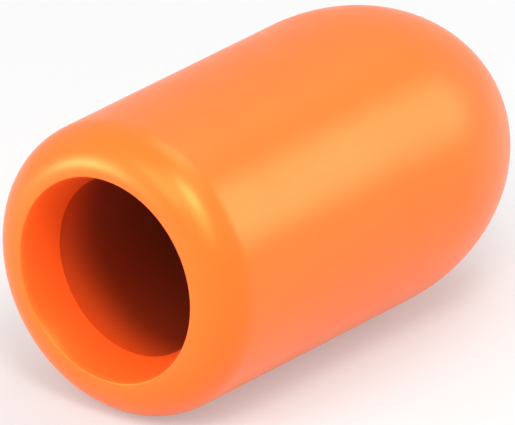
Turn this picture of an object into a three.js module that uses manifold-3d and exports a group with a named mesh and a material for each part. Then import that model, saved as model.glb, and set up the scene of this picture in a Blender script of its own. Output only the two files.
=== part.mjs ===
// Twist-on wire connector: a soft insulating cover, a steel sleeve pressed into it, and a
// square-wire spring that floats inside the sleeve. Millimetres, +Z up. The connector lies
// on its side: its axis runs along +Y, from the open mouth to the domed closed end.
import * as THREE from 'three';
import Module from 'manifold-3d';
import { mergeVertices } from 'three/addons/utils/BufferGeometryUtils.js';

// Outside of the cover
const overallLength = 22.22;
const outerRadius = 6;
const domeHeight = 7.75;
const lipHeight = 1.78;
const rimFlatWidth = 0.1;
const aroundSegments = 64;
const lipSegments = 12;
const domeSegments = 20;

// Moulding gate: a shallow dimple in the tip of the dome with the gate's stub in it
const gateRadius = 0.7;
const gateFloorRadius = 0.5;
const gateDepth = 0.14;
const stubRadius = 0.22;
const stubHeight = 0.08;

// Mouth, funnel and skirt bore, where the insulated wires sit
const mouthRadius = 4.2;
const throatRadius = 3.675;
const funnelDepth = 1.8;
const skirtRadius = 4.15;
const undercutHeight = 0.4;
const shoulderY = 8.45;

// Steel sleeve, a tapered tube whose rim is curled in over the spring
const wallThickness = 0.35;
const sleeveMouthRadius = 4.85;
const sleeveEndRadius = 3.6;
const sleeveStartY = 8.6;
const sleeveEndY = 18.55;
const curlRadius = 4.12;
const seatGap = 0.1;

// Spring of square wire, wound right-handed with a corner of the wire facing in
const wireSide = 0.75;
const springStartY = 9.5;
const springEndY = 18.1;
const springMouthRadius = 3.77;
const springEndRadius = 2.47;
const springTurns = 7.75;
const stepsPerTurn = 24;

// Drive tang: the end of the wire, bent across the axis into a recess with two drive dogs. It
// rests nearly upright with its free end down, so that the spring's weight hangs lowest.
const tangAngle = THREE.MathUtils.degToRad(-81);
const bendRadius = 0.85;
const bendSteps = 8;
const tangSteps = 3;
const tangRise = 0.95;
const tangReach = 2.4;
const turningPlay = THREE.MathUtils.degToRad(26);
const dogClearance = 0.05;
const pocketFloorY = 18.75;
const recessFloorY = 19.7;
const recessRadius = 3.1;

const wireHalfDiagonal = wireSide / Math.SQRT2;

const wasm = await Module();
wasm.setup();

// A point at a radius and an angle about the axis, right-handed about +Y.
function aroundAxis(radius, angle, y) {
  return new THREE.Vector3(radius * Math.cos(angle), y, -radius * Math.sin(angle));
}

// Points of an elliptic arc in the profile plane, without its first point.
function ellipticArc(centre, radial, axial, startAngle, endAngle, segments) {
  const points = [];
  for (let i = 1; i <= segments; i++) {
    const angle = THREE.MathUtils.lerp(startAngle, endAngle, i / segments);
    const offset = new THREE.Vector2(radial * Math.cos(angle), axial * Math.sin(angle));
    points.push(offset.add(centre));
  }
  return points;
}

// A closed turned body, with a flat of its polygon facing down.
function turned(profile) {
  return new THREE.LatheGeometry(profile, aroundSegments, Math.PI / aroundSegments);
}

function toSolid(geometry) {
  const bare = geometry.clone();
  bare.deleteAttribute('normal');
  bare.deleteAttribute('uv');
  const merged = mergeVertices(bare, 1e-5);
  const vertProperties = new Float32Array(merged.attributes.position.array);
  const triVerts = new Uint32Array(merged.index.array);
  return new wasm.Manifold(new wasm.Mesh({ numProp: 3, vertProperties, triVerts }));
}

function toGeometry(solid) {
  const mesh = solid.getMesh();
  const geometry = new THREE.BufferGeometry();
  geometry.setAttribute('position', new THREE.BufferAttribute(mesh.vertProperties, 3));
  geometry.setIndex(new THREE.BufferAttribute(mesh.triVerts, 1));
  geometry.computeVertexNormals();
  return geometry;
}

// Recess behind the spring: open on the side of the wire's bend, and a V on the far side
// between two dogs, wide enough for the tang to swing through the turning play.
function driveRecess() {
  const halfWidth = wireHalfDiagonal + dogClearance;
  const flankAngle = Math.asin(halfWidth / recessRadius);
  const openTo = (Math.PI + turningPlay) / 2;
  const openFrom = openTo - Math.PI;
  const cornerRadius = halfWidth / Math.cos(turningPlay / 2);
  const corner = (angle) => [cornerRadius * Math.cos(angle), cornerRadius * Math.sin(angle)];
  const shape = new THREE.Shape();
  shape.moveTo(...corner(openFrom));
  shape.absarc(0, 0, recessRadius, openFrom, openTo);
  shape.lineTo(...corner(openTo));
  shape.absarc(0, 0, recessRadius, Math.PI - flankAngle, Math.PI + turningPlay + flankAngle);
  shape.closePath();
  const overlap = 0.5;
  const depth = recessFloorY - pocketFloorY + overlap;
  const geometry = new THREE.ExtrudeGeometry(shape, { depth, bevelEnabled: false, curveSegments: 20 });
  geometry.rotateX(-Math.PI / 2);
  geometry.rotateY(tangAngle);
  geometry.translate(0, pocketFloorY - overlap, 0);
  return geometry;
}

function insulatingCover() {
  const lipCentre = new THREE.Vector2(mouthRadius + rimFlatWidth, lipHeight);
  const gateAngle = Math.acos(gateRadius / outerRadius);
  const gateFloorY = overallLength - gateDepth;
  const domeCentre = new THREE.Vector2(0, overallLength - domeHeight * Math.sin(gateAngle));
  const profile = [
    new THREE.Vector2(0, pocketFloorY),
    new THREE.Vector2(sleeveEndRadius + seatGap, pocketFloorY),
    new THREE.Vector2(sleeveMouthRadius + seatGap, shoulderY),
    new THREE.Vector2(skirtRadius, shoulderY),
    new THREE.Vector2(skirtRadius, funnelDepth + undercutHeight),
    new THREE.Vector2(throatRadius, funnelDepth),
    new THREE.Vector2(mouthRadius, 0),
    new THREE.Vector2(mouthRadius + rimFlatWidth, 0),
    ...ellipticArc(lipCentre, outerRadius - lipCentre.x, lipHeight, -Math.PI / 2, 0, lipSegments),
    new THREE.Vector2(outerRadius, domeCentre.y),
    ...ellipticArc(domeCentre, outerRadius, domeHeight, 0, gateAngle, domeSegments),
    new THREE.Vector2(gateFloorRadius, gateFloorY),
    new THREE.Vector2(stubRadius, gateFloorY),
    new THREE.Vector2(stubRadius, gateFloorY + stubHeight),
    new THREE.Vector2(0, gateFloorY + stubHeight),
  ];
  return toGeometry(toSolid(turned(profile)).subtract(toSolid(driveRecess())));
}

function steelSleeve() {
  const curlY = sleeveStartY + wallThickness;
  return turned([
    new THREE.Vector2(curlRadius, sleeveStartY),
    new THREE.Vector2(sleeveMouthRadius, sleeveStartY),
    new THREE.Vector2(sleeveEndRadius, sleeveEndY),
    new THREE.Vector2(sleeveEndRadius - wallThickness, sleeveEndY),
    new THREE.Vector2(sleeveMouthRadius - wallThickness, curlY),
    new THREE.Vector2(curlRadius, curlY),
    new THREE.Vector2(curlRadius, sleeveStartY),
  ]);
}

// Centre line of the spring wire: a narrowing helix, a tight bend that climbs past the last
// turn, and the tang straight across the axis.
class SpringWire extends THREE.Curve {
  constructor() {
    super();
    this.coilSteps = springTurns * stepsPerTurn;
    this.steps = this.coilSteps + bendSteps + tangSteps;
    this.bendOffset = springEndRadius - bendRadius;
    this.coilEndAngle = -Math.asin(bendRadius / this.bendOffset);
  }

  getPoint(t) {
    const step = t * this.steps;
    if (step <= this.coilSteps) return this.coilPoint(step / this.coilSteps);
    if (step <= this.coilSteps + bendSteps) return this.bendPoint((step - this.coilSteps) / bendSteps);
    return this.tangPoint((step - this.coilSteps - bendSteps) / tangSteps);
  }

  coilPoint(share) {
    const angle = this.coilEndAngle - (1 - share) * springTurns * 2 * Math.PI;
    const radius = THREE.MathUtils.lerp(springMouthRadius, springEndRadius, share);
    return aroundAxis(radius, angle, THREE.MathUtils.lerp(springStartY, springEndY, share));
  }

  bendPoint(share) {
    const angle = THREE.MathUtils.lerp(this.coilEndAngle, Math.PI / 2, share);
    const y = springEndY + tangRise * THREE.MathUtils.smoothstep(share, 0, 1);
    return aroundAxis(this.bendOffset, this.coilEndAngle, y).add(aroundAxis(bendRadius, angle, 0));
  }

  tangPoint(share) {
    const start = this.bendOffset * Math.cos(this.coilEndAngle);
    return aroundAxis(THREE.MathUtils.lerp(start, -tangReach, share), 0, springEndY + tangRise);
  }

  getSpacedPoints(steps) {
    return this.getPoints(steps);
  }

  // Keeps one corner of the square wire facing the axis all the way along.
  computeFrenetFrames(steps) {
    const axis = new THREE.Vector3(0, 1, 0);
    const frames = { tangents: [], normals: [], binormals: [] };
    for (let i = 0; i <= steps; i++) {
      const tangent = this.getTangent(i / steps);
      const sideways = new THREE.Vector3().crossVectors(axis, tangent).normalize();
      frames.tangents.push(tangent);
      frames.normals.push(sideways);
      frames.binormals.push(new THREE.Vector3().crossVectors(tangent, sideways));
    }
    return frames;
  }
}

function gripSpring() {
  const path = new SpringWire();
  const section = new THREE.Shape();
  section.moveTo(wireHalfDiagonal, 0);
  section.lineTo(0, wireHalfDiagonal);
  section.lineTo(-wireHalfDiagonal, 0);
  section.lineTo(0, -wireHalfDiagonal);
  section.closePath();
  const geometry = new THREE.ExtrudeGeometry(section, { steps: path.steps, extrudePath: path });
  geometry.rotateY(tangAngle);
  return geometry;
}

function addPiece(parent, name, geometry, colour, roughness, metalness) {
  const material = new THREE.MeshStandardMaterial({ color: colour, roughness, metalness });
  const mesh = new THREE.Mesh(geometry, material);
  mesh.name = name;
  parent.add(mesh);
}

const connector = new THREE.Group();
const axisHeight = outerRadius * Math.cos(Math.PI / aroundSegments);
connector.position.set(0, -overallLength / 2, axisHeight);
addPiece(connector, 'insulating_cover', insulatingCover(), 0xff8a3d, 0.4, 0);
addPiece(connector, 'steel_sleeve', steelSleeve(), 0xa9abad, 0.4, 1);
addPiece(connector, 'grip_spring', gripSpring(), 0xc4c6c8, 0.3, 1);

export default connector;
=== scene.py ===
# Twist-on wire connector: orange cover, steel sleeve and square-wire spring on a pale floor.
import math

import bmesh
import bpy
from mathutils import Matrix, Vector


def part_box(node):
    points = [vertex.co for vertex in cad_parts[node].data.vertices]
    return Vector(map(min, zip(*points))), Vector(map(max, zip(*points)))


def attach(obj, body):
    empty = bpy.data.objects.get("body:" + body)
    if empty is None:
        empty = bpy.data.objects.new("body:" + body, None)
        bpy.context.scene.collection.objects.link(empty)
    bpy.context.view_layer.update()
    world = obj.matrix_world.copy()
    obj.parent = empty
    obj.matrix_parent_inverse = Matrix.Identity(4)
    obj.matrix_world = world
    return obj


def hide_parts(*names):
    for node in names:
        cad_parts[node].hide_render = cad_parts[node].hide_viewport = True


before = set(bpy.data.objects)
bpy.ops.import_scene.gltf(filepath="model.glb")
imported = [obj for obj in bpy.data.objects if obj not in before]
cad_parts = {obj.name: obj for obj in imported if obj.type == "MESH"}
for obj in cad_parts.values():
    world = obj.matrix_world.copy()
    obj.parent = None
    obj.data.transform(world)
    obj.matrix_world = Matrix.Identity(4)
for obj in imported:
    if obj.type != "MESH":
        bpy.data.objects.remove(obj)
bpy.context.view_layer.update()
scene = bpy.context.scene
mm = 0.001
mergeDistance = 0.0001 * mm
fullTurn = 2 * math.pi

# The connector lies along Y. Everything is placed from its mouth, along its axis.
coverLow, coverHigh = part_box("insulating_cover")
outerRadius = (coverHigh.x - coverLow.x) / 2
overallLength = coverHigh.y - coverLow.y
mouthCentre = Vector((0, coverLow.y, (coverLow.z + coverHigh.z) / 2))
axisDirection = Vector((0, 1, 0))
middle = mouthCentre + axisDirection * overallLength / 2


def directionFrom(azimuth, elevation):
    # towards a place given in degrees round from the mouth and degrees up
    azimuth = math.radians(azimuth)
    elevation = math.radians(elevation)
    return Vector((math.sin(azimuth) * math.cos(elevation),
                   -math.cos(azimuth) * math.cos(elevation), math.sin(elevation)))


camera = {
    "lens": 1161.3,            # a distant camera with a long lens
    "sensor": 36,
    "azimuth": 38.56,          # degrees round from the mouth
    "elevation": 23.67,
    "distance": 107.9,         # in outer radii from the middle of the connector
    "aimRight": -0.175,        # the aim point beside that middle, in outer radii
    "aimUp": -0.144,
    "clipStart": 0.01,         # metres
    "clipEnd": 10,
}


def makeCamera():
    azimuth = math.radians(camera["azimuth"])
    back = directionFrom(camera["azimuth"], camera["elevation"])
    right = Vector((math.cos(azimuth), math.sin(azimuth), 0))
    up = back.cross(right)
    aim = middle + (right * camera["aimRight"] + up * camera["aimUp"]) * outerRadius
    data = bpy.data.cameras.new("productCamera")
    data.lens = camera["lens"]
    data.sensor_width = camera["sensor"]
    data.clip_start = camera["clipStart"]
    data.clip_end = camera["clipEnd"]
    holder = bpy.data.objects.new("productCamera", data)
    holder.location = aim + back * camera["distance"] * outerRadius
    holder.rotation_euler = Matrix((right, up, back)).transposed().to_euler()
    scene.collection.objects.link(holder)
    scene.camera = holder


makeCamera()
print("camera set")


def arcPoints(centre, radii, startAngle, endAngle, segments):
    # points of an elliptic arc in the plane of a profile: distance from the axis, depth along it
    points = []
    for i in range(segments + 1):
        angle = math.radians(startAngle + (endAngle - startAngle) * i / segments)
        points.append((centre[0] + radii[0] * math.cos(angle), centre[1] + radii[1] * math.sin(angle)))
    return points


def spinProfile(bm, profile, steps, closed=False):
    # turns a profile in millimetres about the connector's axis
    verts = [bm.verts.new((x * mm, y * mm, 0)) for x, y in profile]
    ends = zip(verts, verts[1:] + verts[:1]) if closed else zip(verts, verts[1:])
    edges = [bm.edges.new(pair) for pair in ends]
    bmesh.ops.spin(bm, geom=verts + edges, cent=(0, 0, 0), axis=axisDirection, angle=fullTurn,
                   steps=steps, use_merge=True, use_duplicate=False)
    bmesh.ops.remove_doubles(bm, verts=bm.verts, dist=mergeDistance)


def sharpEdges(bm, angle):
    return [e for e in bm.edges if len(e.link_faces) == 2 and e.calc_face_angle(0) > math.radians(angle)]


def roundEdges(bm, edges, size, segments):
    bmesh.ops.bevel(bm, geom=edges, offset=size * mm, offset_type="OFFSET", segments=segments,
                    profile=0.5, affect="EDGES", clamp_overlap=True, material=-1)


def newObject(name, bm):
    mesh = bpy.data.meshes.new(name)
    bm.to_mesh(mesh)
    bm.free()
    made = bpy.data.objects.new(name, mesh)
    scene.collection.objects.link(made)
    return made


def finishPiece(piece, material, smoothAngle, body, node):
    # moves the mesh to the connector's place, shades it and hands it to the frame
    piece.data.transform(Matrix.Translation(mouthCentre))
    piece.data.shade_smooth()
    piece.data.set_sharp_from_angle(angle=math.radians(smoothAngle))
    piece.data.materials.clear()
    piece.data.materials.append(material)
    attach(piece, body)
    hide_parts(node)


def newGroup(name, inputs, outputs):
    tree = bpy.data.node_groups.new(name, "ShaderNodeTree")
    for label, kind, value in inputs:
        socket = tree.interface.new_socket(label, in_out="INPUT", socket_type=kind)
        if value is not None:
            socket.default_value = value
    for label in outputs:
        tree.interface.new_socket(label, in_out="OUTPUT", socket_type="NodeSocketFloat")
    return tree, tree.nodes.new("NodeGroupInput").outputs, tree.nodes.new("NodeGroupOutput").inputs


def mathNode(tree, operation, first, second):
    # a Math node fed by sockets or plain numbers
    node = tree.nodes.new("ShaderNodeMath")
    node.operation = operation
    for socket, value in zip(node.inputs, (first, second)):
        if isinstance(value, bpy.types.NodeSocket):
            tree.links.new(value, socket)
        else:
            socket.default_value = value
    return node.outputs[0]


def noiseNode(tree, vector, scale, detail=2.0, roughness=0.5):
    node = tree.nodes.new("ShaderNodeTexNoise")
    tree.links.new(vector, node.inputs["Vector"])
    if isinstance(scale, bpy.types.NodeSocket):
        tree.links.new(scale, node.inputs["Scale"])
    else:
        node.inputs["Scale"].default_value = scale
    node.inputs["Detail"].default_value = detail
    node.inputs["Roughness"].default_value = roughness
    return node


def stretch(tree, value, low, high):
    # spreads the values from low to high over 0 to 1
    node = tree.nodes.new("ShaderNodeMapRange")
    node.interpolation_type = "SMOOTHSTEP"
    tree.links.new(value, node.inputs["Value"])
    node.inputs["From Min"].default_value = low
    node.inputs["From Max"].default_value = high
    return node.outputs["Result"]


def makeGrainGroup():
    # fine grain of a surface, and slow patches in its finish
    tree, given, result = newGroup("surfaceGrain", [
        ("Vector", "NodeSocketVector", None),
        ("Grain Scale", "NodeSocketFloat", 4000.0),
        ("Patch Scale", "NodeSocketFloat", 300.0),
    ], ["Grain", "Patch"])
    grain = noiseNode(tree, given["Vector"], given["Grain Scale"], detail=3.0, roughness=0.6)
    patch = noiseNode(tree, given["Vector"], given["Patch Scale"], detail=4.0, roughness=0.55)
    tree.links.new(grain.outputs[0], result["Grain"])
    tree.links.new(stretch(tree, patch.outputs[0], 0.3, 0.7), result["Patch"])
    return tree


def makeTurnedGroup():
    # streaks on a turned surface: Around, Along and Outward say how fast they change each way
    tree, given, result = newGroup("turnedStreaks", [
        ("Vector", "NodeSocketVector", None),
        ("Around", "NodeSocketFloat", 1.0),
        ("Along", "NodeSocketFloat", 100.0),
        ("Outward", "NodeSocketFloat", 100.0),
    ], ["Streaks"])
    flatten = tree.nodes.new("ShaderNodeVectorMath")
    flatten.operation = "MULTIPLY"
    flatten.inputs[1].default_value = (1, 0, 1)
    tree.links.new(given["Vector"], flatten.inputs[0])
    radius = tree.nodes.new("ShaderNodeVectorMath")
    radius.operation = "LENGTH"
    tree.links.new(flatten.outputs["Vector"], radius.inputs[0])
    outward = tree.nodes.new("ShaderNodeVectorMath")
    outward.operation = "NORMALIZE"
    tree.links.new(flatten.outputs["Vector"], outward.inputs[0])
    around = tree.nodes.new("ShaderNodeVectorMath")
    around.operation = "SCALE"
    tree.links.new(outward.outputs["Vector"], around.inputs[0])
    tree.links.new(given["Around"], around.inputs["Scale"])
    parts = tree.nodes.new("ShaderNodeSeparateXYZ")
    tree.links.new(given["Vector"], parts.inputs[0])
    along = tree.nodes.new("ShaderNodeCombineXYZ")
    tree.links.new(mathNode(tree, "MULTIPLY", parts.outputs["Y"], given["Along"]), along.inputs["Y"])
    place = tree.nodes.new("ShaderNodeVectorMath")
    tree.links.new(around.outputs["Vector"], place.inputs[0])
    tree.links.new(along.outputs[0], place.inputs[1])
    noise = noiseNode(tree, place.outputs["Vector"], 1.0, detail=3.0, roughness=0.6)
    noise.noise_dimensions = "4D"
    depth = mathNode(tree, "MULTIPLY", radius.outputs["Value"], given["Outward"])
    tree.links.new(depth, noise.inputs["W"])
    tree.links.new(stretch(tree, noise.outputs[0], 0.3, 0.7), result["Streaks"])
    return tree


def makeSpeckGroup():
    # small separate specks, as of dust or pigment
    tree, given, result = newGroup("specks", [
        ("Vector", "NodeSocketVector", None),
        ("Scale", "NodeSocketFloat", 2500.0),
        ("Size", "NodeSocketFloat", 0.12),
        ("Share", "NodeSocketFloat", 0.2),
    ], ["Mask"])
    cells = tree.nodes.new("ShaderNodeTexVoronoi")
    tree.links.new(given["Vector"], cells.inputs["Vector"])
    tree.links.new(given["Scale"], cells.inputs["Scale"])
    near = mathNode(tree, "LESS_THAN", cells.outputs["Distance"], given["Size"])
    pick = tree.nodes.new("ShaderNodeSeparateColor")
    tree.links.new(cells.outputs["Color"], pick.inputs[0])
    chosen = mathNode(tree, "LESS_THAN", pick.outputs[0], given["Share"])
    tree.links.new(mathNode(tree, "MULTIPLY", near, chosen), result["Mask"])
    return tree


grainGroup = makeGrainGroup()
turnedGroup = makeTurnedGroup()
speckGroup = makeSpeckGroup()


def newMaterial(name, constants):
    # a Principled material with its plain numbers set on the shader's own sockets
    material = bpy.data.materials.new(name)
    material.use_nodes = True
    shader = material.node_tree.nodes["Principled BSDF"]
    for socket, value in constants.items():
        shader.inputs[socket].default_value = value
    return material, material.node_tree, shader


def axisCoordinates(tree):
    # object coordinates measured from the middle of the mouth
    coordinates = tree.nodes.new("ShaderNodeTexCoord")
    centring = tree.nodes.new("ShaderNodeMapping")
    centring.inputs["Location"].default_value = -mouthCentre
    tree.links.new(coordinates.outputs["Object"], centring.inputs["Vector"])
    return centring.outputs["Vector"]


def useGroup(tree, group, vector, **values):
    node = tree.nodes.new("ShaderNodeGroup")
    node.node_tree = group
    tree.links.new(vector, node.inputs["Vector"])
    for name, value in values.items():
        node.inputs[name].default_value = value
    return node.outputs


def mixColours(tree, factor, first, second):
    # first where the factor is 0 and second where it is 1
    node = tree.nodes.new("ShaderNodeMix")
    node.data_type = "RGBA"
    tree.links.new(factor, node.inputs["Factor"])
    for socket, value in ((node.inputs["A"], first), (node.inputs["B"], second)):
        if isinstance(value, bpy.types.NodeSocket):
            tree.links.new(value, socket)
        else:
            socket.default_value = value
    return node.outputs["Result"]


def spread(tree, mask, limits):
    # a value that goes from the first limit to the second as the mask goes from 0 to 1
    share = mathNode(tree, "MULTIPLY", mask, limits[1] - limits[0])
    return mathNode(tree, "ADD", share, limits[0])


def addBumps(tree, shader, layers):
    # stacks bumps, each a height and its depth in millimetres
    normal = None
    for height, depth in layers:
        bump = tree.nodes.new("ShaderNodeBump")
        bump.inputs["Distance"].default_value = depth * mm
        tree.links.new(height, bump.inputs["Height"])
        if normal:
            tree.links.new(normal, bump.inputs["Normal"])
        normal = bump.outputs["Normal"]
    tree.links.new(normal, shader.inputs["Normal"])


# in the dictionaries of the three pieces, lengths are in millimetres, depths run along the axis from
# the mouth, and the scales of patterns are per metre
cover = {
    "mouthRadius": 4.2,
    "rimFlat": 0.1,
    "throatRadius": 3.675,
    "funnelDepth": 1.8,
    "skirtRadius": 4.15,
    "undercut": 0.4,
    "shoulderDepth": 8.45,
    "pocketMouthRadius": 4.95,
    "pocketEndRadius": 3.7,
    "pocketDepth": 18.75,
    "recessDepth": 19.7,
    "recessRadius": 3.1,
    "recessOverlap": 0.5,      # how far its cutter starts inside the pocket
    "recessSteps": 48,
    "dogSteps": 16,
    "tangHalfWidth": 0.58,
    "tangAngle": -81,          # degrees about the axis, where the tang rests
    "turningPlay": 26,         # degrees that the tang can swing between the dogs
    "lipHeight": 1.78,
    "domeHeight": 7.75,
    "gateRadius": 0.7,
    "gateFloorRadius": 0.5,
    "gateDepth": 0.14,
    "stubRadius": 0.22,
    "stubHeight": 0.08,
    "edgeRadius": 0.03,
    "edgeAngle": 30,           # edges sharper than this are rounded
    "edgeSteps": 2,
    "smoothAngle": 35,
    "aroundSteps": 192,
    "lipSteps": 28,
    "domeSteps": 56,
    "orange": (1.0, 0.145, 0.02, 1),
    "orangePatch": (0.98, 0.135, 0.018, 1),
    "pigment": (0.85, 0.1, 0.014, 1),
    # a darker, redder orange painted on every inside surface as shade and bounced light
    "insideShadeOrange": (1.0, 0.112, 0.014, 1),
    # a dark colour painted deep inside the mouth as shade
    "deepShadeOrange": (0.36, 0.03, 0.007, 1),
    "insideShadeFade": 0.3,         # depth over which the painted shade of the inside comes in
    "deepEnd": 5.0,            # depth in the mouth where the painted deep shade, also matt, is full
    "deepRoughness": 0.2,      # added to the roughness there
    "pigmentStrength": 0.25,
    "shine": 0.9,
    "shineTint": (1.0, 0.8, 0.2, 1),
    "roughness": (0.3, 0.36),
    "grainScale": 5200.0,
    "patchScale": 260.0,
    "grainDepth": 0.0012,
    "flowDepth": 0.0015,
}


def coverMaterial():
    material, tree, shader = newMaterial("orangeCover", {
        "Specular IOR Level": cover["shine"], "Specular Tint": cover["shineTint"]})
    place = axisCoordinates(tree)
    surface = useGroup(tree, grainGroup, place, **{
        "Grain Scale": cover["grainScale"], "Patch Scale": cover["patchScale"]})
    flow = useGroup(tree, turnedGroup, place, Around=1.6, Along=90.0, Outward=60.0)
    pigment = useGroup(tree, speckGroup, place, Scale=2600.0, Size=0.16, Share=0.12)
    depth = tree.nodes.new("ShaderNodeAttribute")
    depth.attribute_name = "depthInside"
    paintedInsideShade = stretch(tree, depth.outputs["Fac"], 0, cover["insideShadeFade"])
    deep = stretch(tree, depth.outputs["Fac"], cover["funnelDepth"], cover["deepEnd"])
    colour = mixColours(tree, surface["Patch"], cover["orange"], cover["orangePatch"])
    faint = mathNode(tree, "MULTIPLY", pigment["Mask"], cover["pigmentStrength"])
    colour = mixColours(tree, faint, colour, cover["pigment"])
    # painted shade: the darker, redder orange on the surfaces inside the mouth
    colour = mixColours(tree, paintedInsideShade, colour, cover["insideShadeOrange"])
    # painted shade: darker with depth past the throat, to the dark colour deep inside
    colour = mixColours(tree, deep, colour, cover["deepShadeOrange"])
    tree.links.new(colour, shader.inputs["Base Color"])
    rough = spread(tree, surface["Patch"], cover["roughness"])
    matt = mathNode(tree, "MULTIPLY", deep, cover["deepRoughness"])
    rough = mathNode(tree, "ADD", rough, matt)
    tree.links.new(rough, shader.inputs["Roughness"])
    addBumps(tree, shader, [(surface["Grain"], cover["grainDepth"]),
                             (flow["Streaks"], cover["flowDepth"])])
    return material


def setDepthInside(bm):
    # how far each vertex lies inside the mouth, in millimetres, for the shade painted there and its
    # duller roughness
    layer = bm.verts.layers.float.new("depthInside")
    for vert in bm.verts:
        vert[layer] = vert.co.y / mm


def innerProfile():
    return [
        (0, cover["pocketDepth"]),
        (cover["pocketEndRadius"], cover["pocketDepth"]),
        (cover["pocketMouthRadius"], cover["shoulderDepth"]),
        (cover["skirtRadius"], cover["shoulderDepth"]),
        (cover["skirtRadius"], cover["funnelDepth"] + cover["undercut"]),
        (cover["throatRadius"], cover["funnelDepth"]),
        (cover["mouthRadius"], 0),
    ]


def outerProfile():
    radius = outerRadius / mm
    length = overallLength / mm
    lipStart = cover["mouthRadius"] + cover["rimFlat"]
    gateAngle = math.acos(cover["gateRadius"] / radius)
    domeStart = length - cover["domeHeight"] * math.sin(gateAngle)
    gateFloor = length - cover["gateDepth"]
    lip = arcPoints((lipStart, cover["lipHeight"]), (radius - lipStart, cover["lipHeight"]),
                    -90, 0, cover["lipSteps"])
    dome = arcPoints((0, domeStart), (radius, cover["domeHeight"]),
                     0, math.degrees(gateAngle), cover["domeSteps"])
    gate = [
        (cover["gateFloorRadius"], gateFloor),
        (cover["stubRadius"], gateFloor),
        (cover["stubRadius"], gateFloor + cover["stubHeight"]),
        (0, gateFloor + cover["stubHeight"]),
    ]
    return [(cover["mouthRadius"], 0)] + lip + dome + gate


def recessCutter():
    # open on the side of the wire's bend, with a V between two dogs on the far side
    play = cover["turningPlay"]
    width = cover["tangHalfWidth"]
    radius = cover["recessRadius"]
    flank = math.degrees(math.asin(width / radius))
    openTo = (180 + play) / 2
    corner = width / math.cos(math.radians(play / 2))
    near = arcPoints((0, 0), (radius, radius), openTo - 180, openTo, cover["recessSteps"])
    far = arcPoints((0, 0), (radius, radius), 180 - flank, 180 + play + flank, cover["dogSteps"])
    inner = arcPoints((0, 0), (corner, corner), openTo - 180, openTo, 1)
    outline = [inner[0]] + near + [inner[1]] + far
    start = cover["pocketDepth"] - cover["recessOverlap"]
    bm = bmesh.new()
    face = bm.faces.new([bm.verts.new((x * mm, start * mm, -z * mm)) for x, z in outline])
    grown = bmesh.ops.extrude_face_region(bm, geom=[face])
    top = [g for g in grown["geom"] if isinstance(g, bmesh.types.BMVert)]
    bmesh.ops.translate(bm, verts=top, vec=axisDirection * (cover["recessDepth"] - start) * mm)
    turn = Matrix.Rotation(math.radians(cover["tangAngle"]), 3, "Y")
    bmesh.ops.rotate(bm, verts=bm.verts, cent=(0, 0, 0), matrix=turn)
    bmesh.ops.recalc_face_normals(bm, faces=bm.faces)
    setDepthInside(bm)
    return newObject("recessCutter", bm)


def cutAway(piece, cutter):
    boolean = piece.modifiers.new("cut", "BOOLEAN")
    boolean.operation = "DIFFERENCE"
    boolean.solver = "EXACT"
    boolean.object = cutter
    evaluated = piece.evaluated_get(bpy.context.evaluated_depsgraph_get())
    cut = bpy.data.meshes.new_from_object(evaluated)
    piece.modifiers.clear()
    piece.data = cut
    bpy.data.objects.remove(cutter)


def buildCover():
    bm = bmesh.new()
    spinProfile(bm, innerProfile(), cover["aroundSteps"])
    setDepthInside(bm)         # before the outside is made, which keeps a depth of 0
    spinProfile(bm, outerProfile(), cover["aroundSteps"])
    bmesh.ops.recalc_face_normals(bm, faces=bm.faces)
    roundEdges(bm, sharpEdges(bm, cover["edgeAngle"]), cover["edgeRadius"], cover["edgeSteps"])
    piece = newObject("cover", bm)
    cutAway(piece, recessCutter())
    finishPiece(piece, coverMaterial(), cover["smoothAngle"], "cover", "insulating_cover")


buildCover()
print("cover made")


sleeve = {
    "mouthRadius": 4.85,
    "endRadius": 3.6,
    "startDepth": 8.6,
    "endDepth": 18.55,
    "wall": 0.35,
    "curlRadius": 4.12,
    "shoulderRadius": 0.28,    # the bend from the wall into the curl
    "shoulderAngle": 30,       # the least angle of an edge that is bent round
    "shoulderMargin": 0.1,     # how near the mouth's radius such an edge lies
    "shoulderSteps": 5,
    "edgeRadius": 0.08,
    "edgeAngle": 60,
    "edgeSteps": 3,
    "smoothAngle": 30,
    "aroundSteps": 128,
    "zinc": (0.62, 0.62, 0.63, 1),
    "zincPatch": (0.52, 0.525, 0.54, 1),
    "specks": (0.32, 0.31, 0.3, 1),
    "speckStrength": 0.5,
    "roughness": (0.3, 0.42),
    "grainScale": 9000.0,
    "patchScale": 700.0,
    "streakDepth": 0.0015,
    "grainDepth": 0.0004,
}


def sleeveMaterial():
    material, tree, shader = newMaterial("zincSleeve", {"Metallic": 1})
    place = axisCoordinates(tree)
    surface = useGroup(tree, grainGroup, place, **{
        "Grain Scale": sleeve["grainScale"], "Patch Scale": sleeve["patchScale"]})
    drawn = useGroup(tree, turnedGroup, place, Around=110.0, Along=220.0, Outward=900.0)
    specks = useGroup(tree, speckGroup, place, Scale=2200.0, Size=0.14, Share=0.15)
    colour = mixColours(tree, surface["Patch"], sleeve["zinc"], sleeve["zincPatch"])
    faint = mathNode(tree, "MULTIPLY", specks["Mask"], sleeve["speckStrength"])
    colour = mixColours(tree, faint, colour, sleeve["specks"])
    tree.links.new(colour, shader.inputs["Base Color"])
    tree.links.new(spread(tree, drawn["Streaks"], sleeve["roughness"]), shader.inputs["Roughness"])
    addBumps(tree, shader, [(drawn["Streaks"], sleeve["streakDepth"]),
                             (surface["Grain"], sleeve["grainDepth"])])
    return material


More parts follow.
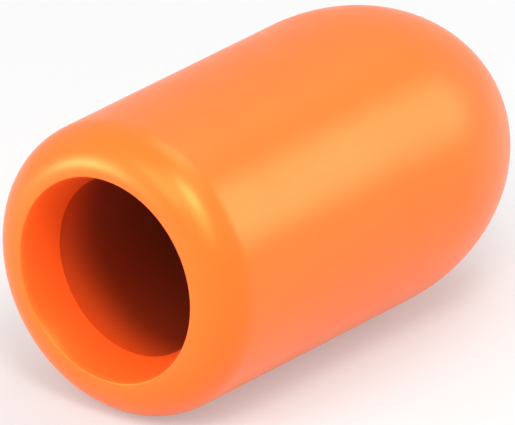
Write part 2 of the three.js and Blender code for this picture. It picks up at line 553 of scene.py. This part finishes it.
def buildSleeve():
    bm = bmesh.new()
    curlDepth = sleeve["startDepth"] + sleeve["wall"]
    spinProfile(bm, [
        (sleeve["curlRadius"], sleeve["startDepth"]),
        (sleeve["mouthRadius"], sleeve["startDepth"]),
        (sleeve["endRadius"], sleeve["endDepth"]),
        (sleeve["endRadius"] - sleeve["wall"], sleeve["endDepth"]),
        (sleeve["mouthRadius"] - sleeve["wall"], curlDepth),
        (sleeve["curlRadius"], curlDepth),
    ], sleeve["aroundSteps"], closed=True)
    bmesh.ops.recalc_face_normals(bm, faces=bm.faces)
    corners = sharpEdges(bm, sleeve["shoulderAngle"])
    widest = (sleeve["mouthRadius"] - sleeve["shoulderMargin"]) * mm
    shoulder = [e for e in corners if e.verts[0].co.xz.length > widest]
    roundEdges(bm, shoulder, sleeve["shoulderRadius"], sleeve["shoulderSteps"])
    roundEdges(bm, sharpEdges(bm, sleeve["edgeAngle"]), sleeve["edgeRadius"], sleeve["edgeSteps"])
    finishPiece(newObject("sleeve", bm), sleeveMaterial(), sleeve["smoothAngle"],
                "cover", "steel_sleeve")


buildSleeve()
print("sleeve made")


spring = {
    "wireSide": 0.75,
    "cornerRadius": 0.07,
    "cornerSteps": 3,
    "startDepth": 9.5,
    "endDepth": 18.1,
    "mouthRadius": 3.77,
    "endRadius": 2.47,
    "turns": 7.75,
    "stepsPerTurn": 64,
    "bendRadius": 0.85,
    "bendSteps": 18,
    "tangRise": 0.95,          # how far the bend climbs past the last turn
    "tangReach": 2.4,
    "smoothAngle": 40,
    "zinc": (0.86, 0.86, 0.87, 1),
    "zincPatch": (0.76, 0.765, 0.79, 1),
    "oil": (0.5, 0.48, 0.44, 1),
    "oilStrength": 0.4,
    "roughness": (0.16, 0.28),
    "grainScale": 9000.0,
    "patchScale": 900.0,
    "streakDepth": 0.0007,
    "grainDepth": 0.0003,
}


def springMaterial():
    material, tree, shader = newMaterial("springWire", {"Metallic": 1})
    place = axisCoordinates(tree)
    surface = useGroup(tree, grainGroup, place, **{
        "Grain Scale": spring["grainScale"], "Patch Scale": spring["patchScale"]})
    drawn = useGroup(tree, turnedGroup, place, Around=5.0, Along=9000.0, Outward=9000.0)
    specks = useGroup(tree, speckGroup, place, Scale=3200.0, Size=0.15, Share=0.12)
    colour = mixColours(tree, surface["Patch"], spring["zinc"], spring["zincPatch"])
    faint = mathNode(tree, "MULTIPLY", specks["Mask"], spring["oilStrength"])
    colour = mixColours(tree, faint, colour, spring["oil"])
    tree.links.new(colour, shader.inputs["Base Color"])
    tree.links.new(spread(tree, drawn["Streaks"], spring["roughness"]), shader.inputs["Roughness"])
    addBumps(tree, shader, [(drawn["Streaks"], spring["streakDepth"]),
                             (surface["Grain"], spring["grainDepth"])])
    return material


def endFace(spun):
    return [g for g in spun["geom_last"] if isinstance(g, bmesh.types.BMFace)]


def buildSpring():
    endRadius = spring["endRadius"] * mm
    bendRadius = spring["bendRadius"] * mm
    coilHeight = (spring["endDepth"] - spring["startDepth"]) * mm
    taper = (spring["mouthRadius"] - spring["endRadius"]) * mm
    bendOffset = endRadius - bendRadius
    coilEndAngle = -math.asin(bendRadius / bendOffset)
    coilSteps = round(spring["turns"] * spring["stepsPerTurn"])
    bm = bmesh.new()
    # the wire's section, a square on its corner with rounded corners, at the start of the wire
    bmesh.ops.create_circle(bm, cap_ends=True, segments=4, radius=spring["wireSide"] / math.sqrt(2) * mm)
    bmesh.ops.bevel(bm, geom=list(bm.verts), offset=spring["cornerRadius"] * mm, offset_type="OFFSET",
                    segments=spring["cornerSteps"], profile=0.5, affect="VERTICES", material=-1)
    bmesh.ops.translate(bm, verts=bm.verts, vec=(endRadius, spring["startDepth"] * mm, 0))
    startAngle = coilEndAngle - spring["turns"] * fullTurn
    bmesh.ops.rotate(bm, verts=bm.verts, cent=(0, 0, 0), matrix=Matrix.Rotation(startAngle, 3, "Y"))
    # wind it towards the closed end, then open the coil towards the mouth
    coil = bmesh.ops.spin(bm, geom=list(bm.faces), cent=(0, 0, 0), axis=axisDirection,
                          dvec=axisDirection * coilHeight / coilSteps, angle=spring["turns"] * fullTurn,
                          steps=coilSteps, use_duplicate=False, use_merge=False)
    for vert in bm.verts:
        share = (spring["endDepth"] * mm - vert.co.y) / coilHeight
        outward = Vector((vert.co.x, 0, vert.co.z)).normalized()
        vert.co += outward * taper * max(share, 0)
    # bend the end in to the axis, climbing past the last turn, and run it across as the tang
    lastFace = endFace(coil)
    bendCentre = Matrix.Rotation(coilEndAngle, 3, "Y") @ Vector((bendOffset, 0, 0))
    bend = bmesh.ops.spin(bm, geom=lastFace, cent=bendCentre, axis=axisDirection,
                          dvec=axisDirection * spring["tangRise"] * mm / spring["bendSteps"],
                          angle=math.pi / 2 - coilEndAngle, steps=spring["bendSteps"],
                          use_duplicate=False, use_merge=False)
    bmesh.ops.delete(bm, geom=lastFace, context="FACES_ONLY")
    lastFace = endFace(bend)
    tangLength = bendOffset * math.cos(coilEndAngle) + spring["tangReach"] * mm
    tang = bmesh.ops.extrude_face_region(bm, geom=lastFace)
    tangEnd = [g for g in tang["geom"] if isinstance(g, bmesh.types.BMVert)]
    bmesh.ops.translate(bm, verts=tangEnd, vec=(-tangLength, 0, 0))
    bmesh.ops.delete(bm, geom=lastFace, context="FACES_ONLY")
    bmesh.ops.remove_doubles(bm, verts=bm.verts, dist=mergeDistance)
    turn = Matrix.Rotation(math.radians(cover["tangAngle"]), 3, "Y")
    bmesh.ops.rotate(bm, verts=bm.verts, cent=(0, 0, 0), matrix=turn)
    bmesh.ops.recalc_face_normals(bm, faces=bm.faces)
    finishPiece(newObject("spring", bm), springMaterial(), spring["smoothAngle"],
                "spring", "grip_spring")


buildSpring()
print("spring made")


stage = {
    "floorSize": 4.0,          # metres
    "floorColour": (0.45, 0.45, 0.45, 1),
    "floorRoughness": 0.9,
    "floorGlow": 0.3,          # keeps the floor near white round the connector
    "worldStrength": 0.68,
}

# discs of light round the middle of the connector: degrees round from the mouth and up, then
# metres away, metres across and watts
lamps = {
    "backSoftbox": {"azimuth": 141.7, "elevation": 23.6, "distance": 0.25, "size": 0.16, "power": 0.19},
    "lipSoftbox": {"azimuth": 45.4, "elevation": 53.4, "distance": 0.25, "size": 0.09, "power": 0.215},
    "frontSoftbox": {"azimuth": 0, "elevation": 38, "distance": 0.25, "size": 0.14, "power": 0.158},
    "rightSoftbox": {"azimuth": 45, "elevation": 38, "distance": 0.25, "size": 0.14, "power": 0.139},
    "leftSoftbox": {"azimuth": 324, "elevation": 8, "distance": 0.25, "size": 0.14, "power": 0.103},
    "rimLight": {"azimuth": 321, "elevation": 0, "distance": 0.12, "size": 0.04, "power": 0.045},
    "topSoftbox": {"azimuth": 180, "elevation": 68, "distance": 0.25, "size": 0.14, "power": 0.115},
    "sideSoftbox": {"azimuth": 90, "elevation": 68, "distance": 0.25, "size": 0.14, "power": 0.05},
}


white = (1, 1, 1, 1)


def buildFloor():
    bm = bmesh.new()
    bmesh.ops.create_grid(bm, x_segments=1, y_segments=1, size=stage["floorSize"] / 2)
    floor = newObject("floor", bm)
    material = newMaterial("paleFloor", {
        "Base Color": stage["floorColour"], "Roughness": stage["floorRoughness"],
        "Specular IOR Level": 0,
        "Emission Color": white, "Emission Strength": stage["floorGlow"]})[0]
    floor.data.materials.append(material)


def buildLamp(name, values):
    towards = directionFrom(values["azimuth"], values["elevation"])
    data = bpy.data.lights.new(name, "AREA")
    data.shape = "DISK"
    data.energy = values["power"]
    data.size = values["size"]
    lamp = bpy.data.objects.new(name, data)
    lamp.location = middle + towards * values["distance"]
    lamp.rotation_euler = towards.to_track_quat("Z", "Y").to_euler()
    lamp.visible_camera = False
    scene.collection.objects.link(lamp)


buildFloor()
for name, values in lamps.items():
    buildLamp(name, values)
world = bpy.data.worlds.new("studio")
world.use_nodes = True
world.node_tree.nodes["Background"].inputs["Color"].default_value = white
world.node_tree.nodes["Background"].inputs["Strength"].default_value = stage["worldStrength"]
scene.world = world
scene.view_settings.view_transform = "Standard"
print("floor and lamps set")
